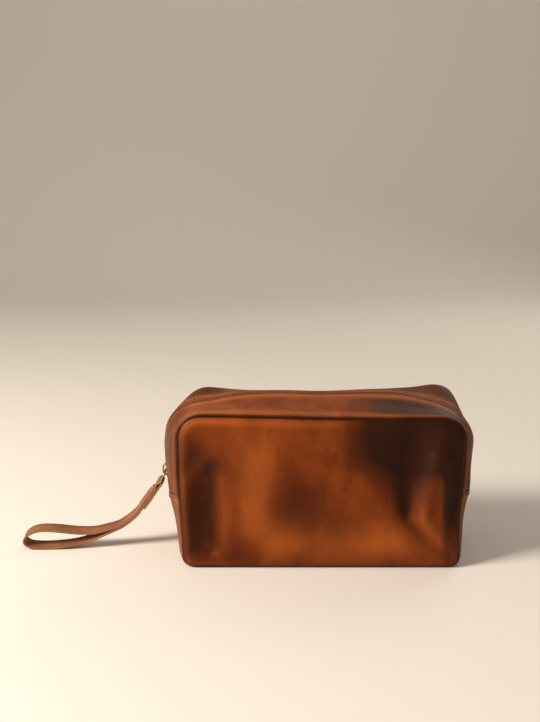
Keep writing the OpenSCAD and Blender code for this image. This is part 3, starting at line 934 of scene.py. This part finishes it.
for side, leaf in ((-1, "front"), (1, "back")):
    from_middle = [1.7, 1.9, 2.3, 2.7, 3.2, 4.2, 5.5, 7, 9, 11, 12.4, 13]

    def tape_place(y, s):
        cord = 0.25 * MM * bump(y / MM, 2.3, 0.5)
        y -= 1.4 * MM * smooth(0.026, 0.016, min(s, 1 - s)) * smooth(13, 2, y / MM)
        return over_point(s, side * y / half_depth, tape_in - cord)
    tape = sheet_of_points("zip_tape_" + leaf + "_weave", [y * MM for y in from_middle],
                           steps(180, -0.02, 1.02), tape_place)
    faces_out(tape)
    thicken(tape, tape_t)
    tape.data.materials.append(tape_weave)
    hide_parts("zip_tape_" + leaf)
    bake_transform(tape)
    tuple(bend_from)
    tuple(bend_to)

# ---------------------------------------------------------------- zip teeth
# Pressed brass teeth, clamped on the tapes 3 mm apart. The two rows stand half a pitch apart and
# their narrow heads reach past the middle between each other.

tooth_pitch, first_tooth, last_tooth = 3 * MM, 8.4 * MM, 5 * MM
chain_in = 2.3 * MM       # how deep the middle of the teeth lies
chain_rise = 1.6 * MM     # how much less deep it lies round the right-hand shoulder


def edit(piece):
    """Opens one piece for editing by its faces."""
    bpy.ops.object.select_all(action="DESELECT")
    bpy.context.view_layer.objects.active = piece
    piece.select_set(True)
    bpy.ops.object.mode_set(mode="EDIT")
    bpy.ops.mesh.select_mode(type="FACE")


def pick(piece, test):
    """Selects the faces whose centre and normal pass a test."""
    bpy.ops.mesh.select_all(action="DESELECT")
    bpy.ops.object.mode_set(mode="OBJECT")
    for face in piece.data.polygons:
        face.select = test(face.center, face.normal)
    bpy.ops.object.mode_set(mode="EDIT")


def even_shares(line, first, last, pitch):
    """Places along an edge line that are a pitch apart, between two distances from its ends."""
    fine = steps(3000)
    lengths = [0.0]
    for a, b in zip(fine, fine[1:]):
        lengths.append(lengths[-1] + (line(b) - line(a)).length)
    shares, i = [], 0
    for n in range(int((lengths[-1] - first - last) / pitch) + 1):
        want = first + n * pitch
        while lengths[i + 1] < want:
            i += 1
        part = (want - lengths[i]) / (lengths[i + 1] - lengths[i])
        shares.append(fine[i] + (fine[i + 1] - fine[i]) * part)
    return shares


def copies(name, template, places):
    """Many copies of a small shape in one mesh, one at each place: (point, along, across, out)."""
    shape = template.data
    points, faces = [], []
    for point, along, across, out in places:
        turn = Matrix((along, across, out)).transposed()
        base = len(points)
        points += [point + turn @ vertex.co for vertex in shape.vertices]
        faces += [[base + i for i in face.vertices] for face in shape.polygons]
    bpy.data.objects.remove(template)
    mesh = bpy.data.meshes.new(name)
    mesh.from_pydata(points, [], faces)
    piece = bpy.data.objects.new(name, mesh)
    bpy.context.scene.collection.objects.link(piece)
    bpy.ops.object.select_all(action="DESELECT")
    bpy.context.view_layer.objects.active = piece
    piece.select_set(True)
    bpy.ops.object.shade_smooth_by_angle(angle=math.radians(40))
    return piece


def small_block(size, edge):
    """A block with rounded edges, centred, its sides along X, Y and Z."""
    bpy.ops.object.select_all(action="DESELECT")
    bpy.ops.mesh.primitive_cube_add(size=1)
    block = bpy.context.object
    block.scale = size
    bpy.ops.object.transform_apply(scale=True)
    if edge:
        rim = block.modifiers.new("rim", "BEVEL")
        rim.width = edge
        rim.segments = 1
        apply_all(block)
    return block


def make_tooth():
    """One tooth: its legs clamp the tape at -Y and its head reaches past the middle at +Y."""
    tooth = small_block((1.5 * MM, 1.9 * MM, 2.1 * MM), 0)
    tooth.data.transform(Matrix.Translation((0, -2.4 * MM, 0)))
    edit(tooth)
    pick(tooth, lambda c, n: n.y > 0.9)
    bpy.ops.mesh.extrude_region_move(TRANSFORM_OT_translate={"value": (0, 0.7 * MM, 0)})
    bpy.ops.transform.resize(value=(0.62, 1, 0.86), center_override=(0, 0, 0))
    bpy.ops.mesh.extrude_region_move(TRANSFORM_OT_translate={"value": (0, 1.1 * MM, 0)})
    bpy.ops.mesh.extrude_region_move(TRANSFORM_OT_translate={"value": (0, 0.45 * MM, 0)})
    bpy.ops.transform.resize(value=(0.6, 1, 0.6), center_override=(0, 0, 0))
    bpy.ops.object.mode_set(mode="OBJECT")
    rim = tooth.modifiers.new("rim", "BEVEL")
    rim.width = 0.16 * MM
    rim.segments = 1
    rim.limit_method = "ANGLE"
    rim.angle_limit = math.radians(40)
    apply_all(tooth)
    return tooth


def brass_material(name, bright, dark, roughness):
    """Brass, rubbed bright in places and tarnished in others."""
    material = bpy.data.materials.new(name)
    material.use_nodes = True
    tree = material.node_tree
    metal = tree.nodes["Principled BSDF"]
    where = tree.nodes.new("ShaderNodeTexCoord").outputs["Object"]
    tarnish = spread(tree, noise_node(tree, where, 620, 4, 0.62, 0.4), 0.38, 0.66)
    tree.links.new(mix_colour(tree, tarnish, (*bright, 1), (*dark, 1)), metal.inputs["Base Color"])
    tree.links.new(spread(tree, tarnish, 0, 1, roughness, roughness + 0.2), metal.inputs["Roughness"])
    raised = add_node(tree, "ShaderNodeBump", Strength=0.25, Distance=0.05 * MM)
    tree.links.new(noise_node(tree, where, 3200, 3, 0.6), raised.inputs["Height"])
    tree.links.new(raised.outputs["Normal"], metal.inputs["Normal"])
    metal.inputs["Metallic"].default_value = 1
    return material


antique_brass = brass_material("antique_brass", (0.50, 0.37, 0.17), (0.20, 0.135, 0.055), 0.28)
tooth_brass = brass_material("tooth_brass", (0.44, 0.275, 0.12), (0.12, 0.068, 0.030), 0.30)

for side, leaf in ((-1, "front"), (1, "back")):
    shift = 0 if side < 0 else tooth_pitch / 2
    spots = []
    for s in even_shares(over_zip, first_tooth + shift, last_tooth, tooth_pitch):
        point, along, across, out = framed(over_face, s, 0.0, bag_middle, chain_in)
        point += out * (chain_rise * smooth(104, 122, point.x / MM) * smooth(56, 66, point.z / MM))
        to_middle = Vector((0, -side, 0))
        to_middle = (to_middle - out * to_middle.dot(out)).normalized()
        spots.append((point, to_middle.cross(out), to_middle, out))
    teeth = copies("zip_teeth_" + leaf + "_brass", make_tooth(), spots)
    teeth.data.materials.append(tooth_brass)
    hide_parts("zip_teeth_" + leaf)
    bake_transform(teeth)
    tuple(bend_from)
    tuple(bend_to)

# ---------------------------------------------------------------- zip stops
# Little brass clamps pinched on the tapes: one on each tape below the closed slider, and a wider
# one that holds both tapes together at the far end.


def stop_clamp(name, low, high):
    """A clamp that fills the box from low to high, pinched across its outer face."""
    size = high - low
    clamp = small_block(size, 0)
    edit(clamp)
    for turned in (-1, 1):
        pick(clamp, lambda c, n: n.x * turned > 0.9)
        bpy.ops.mesh.inset(thickness=0.32 * MM)
        bpy.ops.transform.translate(value=(-turned * 0.22 * MM, 0, 0))
    bpy.ops.object.mode_set(mode="OBJECT")
    rim = clamp.modifiers.new("rim", "BEVEL")
    rim.width = 0.14 * MM
    rim.segments = 2
    rim.limit_method = "ANGLE"
    rim.angle_limit = math.radians(40)
    apply_all(clamp)
    clamp.name = name
    clamp.data.transform(Matrix.Translation((low + high) / 2))
    clamp.data.materials.append(antique_brass)
    bpy.ops.object.shade_smooth_by_angle(angle=math.radians(40))
    return clamp


for leaf in ("front", "back"):
    clamp = stop_clamp("top_stop_" + leaf + "_clamp", *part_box("zip_top_stop_" + leaf))
    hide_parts("zip_top_stop_" + leaf)
    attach(clamp, leaf + "_half")
clamp = stop_clamp("bottom_stop_clamp", *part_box("zip_bottom_stop"))
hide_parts("zip_bottom_stop")
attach(clamp, "root")

# ---------------------------------------------------------------- stitches
# Waxed brown thread in stitches 3 mm apart: a row along each strip beside the zip, and a row
# across each end where the gusset is lapped over the strips. Each stitch lies in a small dip.

stitch_pitch, stitch_len, thread_r = 3 * MM, 2.3 * MM, 0.5 * MM


def make_stitch():
    """One stitch: a plump spindle along X."""
    bpy.ops.object.select_all(action="DESELECT")
    bpy.ops.mesh.primitive_uv_sphere_add(segments=8, ring_count=7, radius=1)
    stitch = bpy.context.object
    stitch.data.transform(Matrix.Rotation(math.radians(90), 4, "Y"))
    for vertex in stitch.data.vertices:
        x = vertex.co.x
        full = (1 - abs(x) ** 3) ** 0.5 / max((1 - x * x) ** 0.5, 0.01) if abs(x) < 0.999 else 1
        vertex.co = Vector((x * stitch_len / 2, vertex.co.y * full * thread_r,
                            vertex.co.z * full * thread_r - abs(x) ** 3 * thread_r * 0.7))
    return stitch


waxed_thread = bpy.data.materials.new("waxed_thread")
waxed_thread.use_nodes = True
tree = waxed_thread.node_tree
where = tree.nodes.new("ShaderNodeTexCoord").outputs["Object"]
thread_skin = tree.nodes["Principled BSDF"]
twist = add_node(tree, "ShaderNodeTexWave", wave_type="BANDS", bands_direction="DIAGONAL",
                 Scale=520, Distortion=0.6, Detail=1.0)
tree.links.new(where, twist.inputs["Vector"])
tree.links.new(mix_colour(tree, twist.outputs["Fac"], (0.030, 0.012, 0.006, 1), (0.095, 0.038, 0.018, 1)),
               thread_skin.inputs["Base Color"])
raised = add_node(tree, "ShaderNodeBump", Strength=0.6, Distance=0.12 * MM)
tree.links.new(twist.outputs["Fac"], raised.inputs["Height"])
tree.links.new(raised.outputs["Normal"], thread_skin.inputs["Normal"])
thread_skin.inputs["Roughness"].default_value = 0.5

for side, leaf in ((-1, "front"), (1, "back")):
    spots = []
    for s in even_shares(over_zip, 2.5 * MM, 2.5 * MM, stitch_pitch):
        spots.append(framed(over_face, s, side * stitch_gap / half_depth, bag_middle, 0.1 * MM))
    row = copies(leaf + "_strip_stitches", make_stitch(), spots)
    row.data.materials.append(waxed_thread)
    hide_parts(leaf + "_strip_thread")
    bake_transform(row)
    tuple(bend_from)
    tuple(bend_to)

for name, share in (("left", 0.012), ("right", 0.988)):
    spots = []
    for n in range(-13, 14):
        point, along, across, out = framed(under_face, share, n * stitch_pitch / half_depth,
                                           under_centre, -0.05 * MM)
        spots.append((point, across, -along, out))
    row = copies(name + "_join_stitches", make_stitch(), spots)
    row.data.materials.append(waxed_thread)
    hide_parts(name + "_join_thread")
    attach(row, "root")

# ---------------------------------------------------------------- zip slider
# Cast antique brass: two shield-shaped plates joined by a post at the nose, each with flanges
# that guide the teeth, and a high oval bridge on the outer plate for the ring.

leg_lean = math.atan2(middle_head - end_half, zip_top - fold_z)
slider_up = Vector((-math.sin(leg_lean), 0, math.cos(leg_lean)))
slider_out = Vector((-math.cos(leg_lean), 0, -math.sin(leg_lean)))
slider_side = slider_out.cross(slider_up)
slider_h = 66 * MM
slider_at = Vector((-(end_half + (slider_h - fold_z) * math.tan(leg_lean)), 0, slider_h))
slider_turn = Matrix((slider_side, slider_up, slider_out)).transposed().to_4x4()
half_plate = [(0.0, -5.1), (0.9, -5.6), (2.2, -6.0), (3.5, -5.9), (4.2, -5.3), (4.4, -4.2), (4.4, -1.4),
              (4.15, 0.4), (3.65, 2.2), (3.3, 4.0), (3.15, 5.2), (2.6, 5.85), (1.4, 6.0), (0.0, 6.0)]


def slider_plate(low, high, flange):
    """A plate between two distances out of the leather, with a flange to one side of it."""
    outline = half_plate + [(-a, b) for a, b in reversed(half_plate[1:-1])]
    bpy.ops.object.select_all(action="DESELECT")
    bpy.ops.mesh.primitive_circle_add(vertices=len(outline), radius=1, fill_type="NGON")
    plate = bpy.context.object
    for vertex, (a, b) in zip(plate.data.vertices, outline):
        vertex.co = Vector((a, b, low)) * MM
    edit(plate)
    bpy.ops.mesh.select_all(action="SELECT")
    bpy.ops.mesh.extrude_region_move(TRANSFORM_OT_translate={"value": (0, 0, (high - low) * MM)})
    bpy.ops.mesh.select_all(action="SELECT")
    bpy.ops.mesh.normals_make_consistent(inside=False)
    bpy.ops.object.mode_set(mode="OBJECT")
    rim = plate.modifiers.new("rim", "BEVEL")
    rim.width = 0.38 * MM
    rim.segments = 3
    rim.limit_method = "ANGLE"
    rim.angle_limit = math.radians(50)
    apply_all(plate)
    parts = [plate]
    for side in (-1, 1):
        rail = small_block((0.8 * MM, 7.6 * MM, abs(flange) * MM + 0.4 * MM), 0.15 * MM)
        middle = (low if flange < 0 else high) + flange / 2 - math.copysign(0.2, flange)
        rail.data.transform(Matrix.Translation((side * 3.95 * MM, -1.9 * MM, middle * MM)))
        for vertex in rail.data.vertices:
            vertex.co.x -= side * 0.9 * MM * smooth(-1.5 * MM, 2.2 * MM, vertex.co.y)
        parts.append(rail)
    return parts


def swept(name, stations, section, closed=False):
    """A bar whose section is carried along stations: (point, side, out, width share, height share)."""
    count = len(section)
    points, faces = [], []
    for point, side, out, wide, high in stations:
        points += [point + side * (a * wide) + out * (b * high) for a, b in section]
    turns = len(stations) if closed else len(stations) - 1
    for i in range(turns):
        here, there = i * count, (i + 1) % len(stations) * count
        for j in range(count):
            k = (j + 1) % count
            faces.append((here + j, here + k, there + k, there + j))
    if not closed:
        faces.append(tuple(reversed(range(count))))
        faces.append(tuple(len(points) - count + j for j in range(count)))
    mesh = bpy.data.meshes.new(name)
    mesh.from_pydata(points, [], faces)
    piece = bpy.data.objects.new(name, mesh)
    bpy.context.scene.collection.objects.link(piece)
    edit(piece)
    bpy.ops.mesh.select_all(action="SELECT")
    bpy.ops.mesh.normals_make_consistent(inside=False)
    bpy.ops.object.mode_set(mode="OBJECT")
    bpy.ops.object.shade_smooth_by_angle(angle=math.radians(40))
    return piece


def round_section(half_w, half_t, radius, corner_steps=4):
    """Points round a rectangle with round corners."""
    points = []
    for quarter, (a, b) in enumerate(((1, 1), (-1, 1), (-1, -1), (1, -1))):
        for i in range(corner_steps + 1):
            turn = math.radians(90 * (quarter + i / corner_steps))
            points.append((a * (half_w - radius) + radius * math.cos(turn),
                           b * (half_t - radius) + radius * math.sin(turn)))
    return points


slider_parts = slider_plate(-0.9, 0.3, -0.7) + slider_plate(-6.0, -4.8, 1.9)
post = small_block((1.7 * MM, 1.1 * MM, 4.3 * MM), 0.2 * MM)
post.data.transform(Matrix.Translation((0, -5.25 * MM, -2.85 * MM)))
slider_parts.append(post)
bridge_half, bridge_rise, oval = 4.75 * MM, 4.5 * MM, 2 / 2.8
arch_steps = 36
arch = []
for i in range(arch_steps + 1):
    turn = math.pi * i / arch_steps
    c, s = math.cos(turn), math.sin(turn)
    arch.append(Vector((0, math.copysign(abs(c) ** oval, c) * bridge_half, bridge_rise * s ** oval)))
stations = []
for i, point in enumerate(arch):
    ahead = (arch[min(i + 1, arch_steps)] - arch[max(i - 1, 0)]).normalized()
    fuller = 1 + 0.22 * (1 - math.sin(math.pi * i / arch_steps))
    stations.append((point, Vector((1, 0, 0)), ahead.cross(Vector((1, 0, 0))), fuller, fuller))
slider_parts.append(swept("bridge", stations, round_section(1.15 * MM, 0.72 * MM, 0.45 * MM)))
bpy.ops.object.select_all(action="DESELECT")
for part in slider_parts:
    part.select_set(True)
bpy.context.view_layer.objects.active = slider_parts[0]
bpy.ops.object.join()
slider = bpy.context.object
slider.name = "slider_cast_body"
slider.data.transform(slider_turn)
slider.data.transform(Matrix.Translation(slider_at))
bpy.ops.object.shade_smooth_by_angle(angle=math.radians(40))
slider.data.materials.append(antique_brass)
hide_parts("zip_slider")
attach(slider, "slider")

# ---------------------------------------------------------------- ring
# A rectangle of 1.8 mm brass wire, bent round and closed with a butt seam inside the strap's fold.

ring_top = Vector((-131.403, 0, 64.301)) * MM
ring_foot = Vector((-135.207, 0, 56.144)) * MM
ring_down = (ring_foot - ring_top).normalized()
ring_face = ring_down.cross(Vector((0, 1, 0)))
ring_len, ring_half, ring_r, wire_r = (ring_foot - ring_top).length, 7.4 * MM, 1.8 * MM, 0.9 * MM
loop = []
for corner, (a, b, first) in enumerate(((1, 0, -90), (1, 1, 0), (-1, 1, 90), (-1, 0, 180))):
    centre = (a * (ring_half - ring_r), ring_r if b == 0 else ring_len - ring_r)
    for i in range(9):
        turn = math.radians(first + 90 * i / 8)
        loop.append((centre[0] + ring_r * math.cos(turn), centre[1] + ring_r * math.sin(turn)))
    if corner == 1:
        loop += [(ring_half * f, ring_len) for f in (0.5, 0.04, 0.02, -0.02, -0.04, -0.5)]
stations = []
for i, (a, b) in enumerate(loop):
    before, after = loop[i - 1], loop[(i + 1) % len(loop)]
    ahead = (Vector((0, 1, 0)) * (after[0] - before[0]) + ring_down * (after[1] - before[1])).normalized()
    seam = 0.84 if b > ring_len - 0.01 * MM and abs(a) < 0.03 * ring_half else 1
    stations.append((ring_top + Vector((0, a, 0)) + ring_down * b, ring_face, ahead.cross(ring_face),
                     seam, seam))
ring = swept("ring_wire", stations, round_section(wire_r, wire_r, wire_r, 3), closed=True)
ring.data.materials.append(antique_brass)
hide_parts("strap_ring")
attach(ring, "ring")

# ---------------------------------------------------------------- wrist strap
# One leather band, 12 mm wide. From a square-cut tail it runs up under the stem, round the ring,
# down the stem, round the loop and back up the stem on top, where it ends short of the ring.
# Two rows of stitches hold the layers together.

strap_half, ply = 6 * MM, 1.75 * MM
strap_steps, stem_steps = 420, 60
stem = [(-135.2, 56.1), (-141.2, 48.5), (-148.2, 38.4), (-157.2, 27.8), (-168.2, 19.4), (-181.2, 13.9)]
hand_loop = [(46, 12.1), (55, 8.2), (65, 4.9), (77, 2.6), (90, 1.5), (103, 1.4), (111, 2.4), (115.2, 5.6),
             (114.4, 9.8), (109.5, 14.0), (101, 16.2), (88, 15.7), (75, 14.0), (64, 13.0), (55, 13.2),
             (46, 14.2)]


def curve_through(points, count):
    """Evenly spaced points on a smooth curve through some given ones, each with its distance."""
    dense = []
    ends = [points[0] * 2 - points[1]] + points + [points[-1] * 2 - points[-2]]
    for p, q, r, t in zip(ends, ends[1:], ends[2:], ends[3:]):
        for i in range(24):
            u = i / 24
            dense.append(0.5 * (2 * q + (r - p) * u + (2 * p - 5 * q + 4 * r - t) * u * u
                                + (3 * q - p - 3 * r + t) * u ** 3))
    dense.append(points[-1])
    lengths = [0.0]
    for a, b in zip(dense, dense[1:]):
        lengths.append(lengths[-1] + (b - a).length)
    even, i = [], 0
    for n in range(count + 1):
        want = lengths[-1] * n / count
        while i < len(dense) - 2 and lengths[i + 1] < want:
            i += 1
        part = (want - lengths[i]) / (lengths[i + 1] - lengths[i])
        even.append((dense[i].lerp(dense[i + 1], part), want))
    return even


stem_line = curve_through([Vector((x, 0, z)) * MM for x, z in stem], stem_steps)
stem_len = stem_line[-1][1]
tail_len, top_start = 27 * MM, 7.5 * MM


def thinned(from_end):
    """The band is skived to a third of its thickness at the end that shows on top."""
    return 0.34 + 0.66 * smooth(0, 8 * MM, from_end)


def stem_offset(layer, t):
    """How far a layer's middle lies from the stem's middle line, t metres from the ring."""
    two = smooth(tail_len - 2 * MM, tail_len + 5 * MM, t)
    free = 1.06 * ply * (1 - smooth(1 * MM, 9 * MM, t))
    if layer == "tail":
        return -ply * (1.06 - 0.06 * smooth(0, 8 * MM, t))
    if layer == "middle":
        return free - 0.5 * ply * two
    return ply * (0.5 + 0.5 * thinned(t - top_start)) + free - 0.5 * ply * two


def stem_place(layer, t):
    """A point in the middle of one of the stem's layers, t metres from the ring."""
    along = t / stem_len * stem_steps
    i = min(int(along), stem_steps - 1)
    here, there = stem_line[i][0], stem_line[i + 1][0]
    point = here.lerp(there, along - i)
    ahead = (stem_line[min(i + 2, stem_steps)][0] - stem_line[max(i - 1, 0)][0]).normalized()
    upper = Vector((ahead.z, 0, -ahead.x))
    if upper.x > 0:
        upper = -upper
    return point + upper * stem_offset(layer, t)


loop_swing = 7 * MM       # how far the loop lies towards the front
route = [stem_place("tail", t * MM) for t in (27, 24, 20, 16, 12, 8, 4, 1)]
up_stem = (stem_line[0][0] - stem_line[2][0]).normalized()
over_ring = Vector((up_stem.z, 0, -up_stem.x))
if over_ring.x > 0:
    over_ring = -over_ring
wrap_r = wire_r + ply / 2 + 0.1 * MM
for turn in (-60, -30, 0, 30, 60):
    a = math.radians(turn)
    route.append(ring_foot + up_stem * (wrap_r * math.cos(a)) + over_ring * (wrap_r * math.sin(a)))
route += [stem_place("middle", t * MM) for t in (1, 4, 8, 12, 16, 20, 24, 28, 33, 38, 44, 50, 56)]
route += [Vector((-135.2 - a, 0, b + 0.9)) * MM for a, b in hand_loop[1:-1]]
route += [stem_place("top", t * MM) for t in (56, 50, 44, 38, 33, 28, 24, 20, 16, 12, 7.5)]
for point in route:
    point.y -= loop_swing * smooth(-150, -235, point.x / MM)
strap_line = curve_through(route, strap_steps)


def strap_station(i):
    """A place on the band, with the directions across it and out of its face."""
    point = strap_line[i][0]
    ahead = (strap_line[min(i + 1, strap_steps)][0] - strap_line[max(i - 1, 0)][0]).normalized()
    roll_over = math.radians(11) * smooth(1 * MM, 14 * MM, (point - ring_foot).length)
    across = Vector((0, math.cos(roll_over), math.sin(roll_over)))
    across = (across - ahead * across.dot(ahead)).normalized()
    return point, across, across.cross(ahead), 1, thinned(strap_line[-1][1] - strap_line[i][1])


stations = [strap_station(i) for i in range(strap_steps + 1)]
strap = swept("wrist_strap_band", stations, round_section(strap_half, ply / 2 - 0.06 * MM, 0.45 * MM, 3))
for vertex in strap.data.vertices:
    x, y, z = vertex.co / MM
    wave = noise.noise(Vector((x, y * 2, z)) / 14) * 0.35
    vertex.co.y += wave * MM * smooth(-140, -160, x)
strap_leather = leather_material("strap_leather", (0.085, 0.030, 0.012), (0.235, 0.090, 0.036),
                                 (0.40, 0.185, 0.088), 0.18 * MM)
mark(strap, "wear_and_highlight", lambda p: 0.5 * smooth(4.2, 5.9, abs(p.y / MM)))
strap.data.materials.append(strap_leather)
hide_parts("wrist_strap")
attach(strap, "strap")

# The rows show on one face of the band round the tail and inside the loop, and on the other
# under the stem, outside the loop and on the stem's top
stitch_edge, wrap_len, leaf_len = 4.4 * MM, 6 * MM, 56 * MM
strap_len = strap_line[-1][1]
loop_from, loop_to = tail_len + wrap_len + leaf_len, strap_len - leaf_len + top_start
spots = []
for n in range(int(strap_len / stitch_pitch)):
    along_band = (n + 0.8) * stitch_pitch
    i = round(along_band / strap_len * strap_steps)
    if i > strap_steps - 2:
        continue
    point, across, out, wide, high = strap_station(i)
    inner = along_band < tail_len - 3 * MM or loop_from + 6 * MM < along_band < loop_to - 6 * MM
    outer = along_band > tail_len + wrap_len + tail_len + 2 * MM
    for shown, face in ((inner, out), (outer, -out)):
        if shown:
            for side in (-1, 1):
                spots.append((point + face * (ply / 2 * high - 0.08 * MM) + across * side * stitch_edge,
                              across.cross(face), across, face))
stitches = copies("strap_stitches", make_stitch(), spots)
stitches.data.materials.append(waxed_thread)
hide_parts("strap_thread")
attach(stitches, "strap")

# ---------------------------------------------------------------- size
# The shown bag's bounds are measured and set beside the bounds of the frame it was built on.

low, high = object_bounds()
{"frame": [list(cad_low), list(cad_high)], "shown": [list(low), list(high)]}
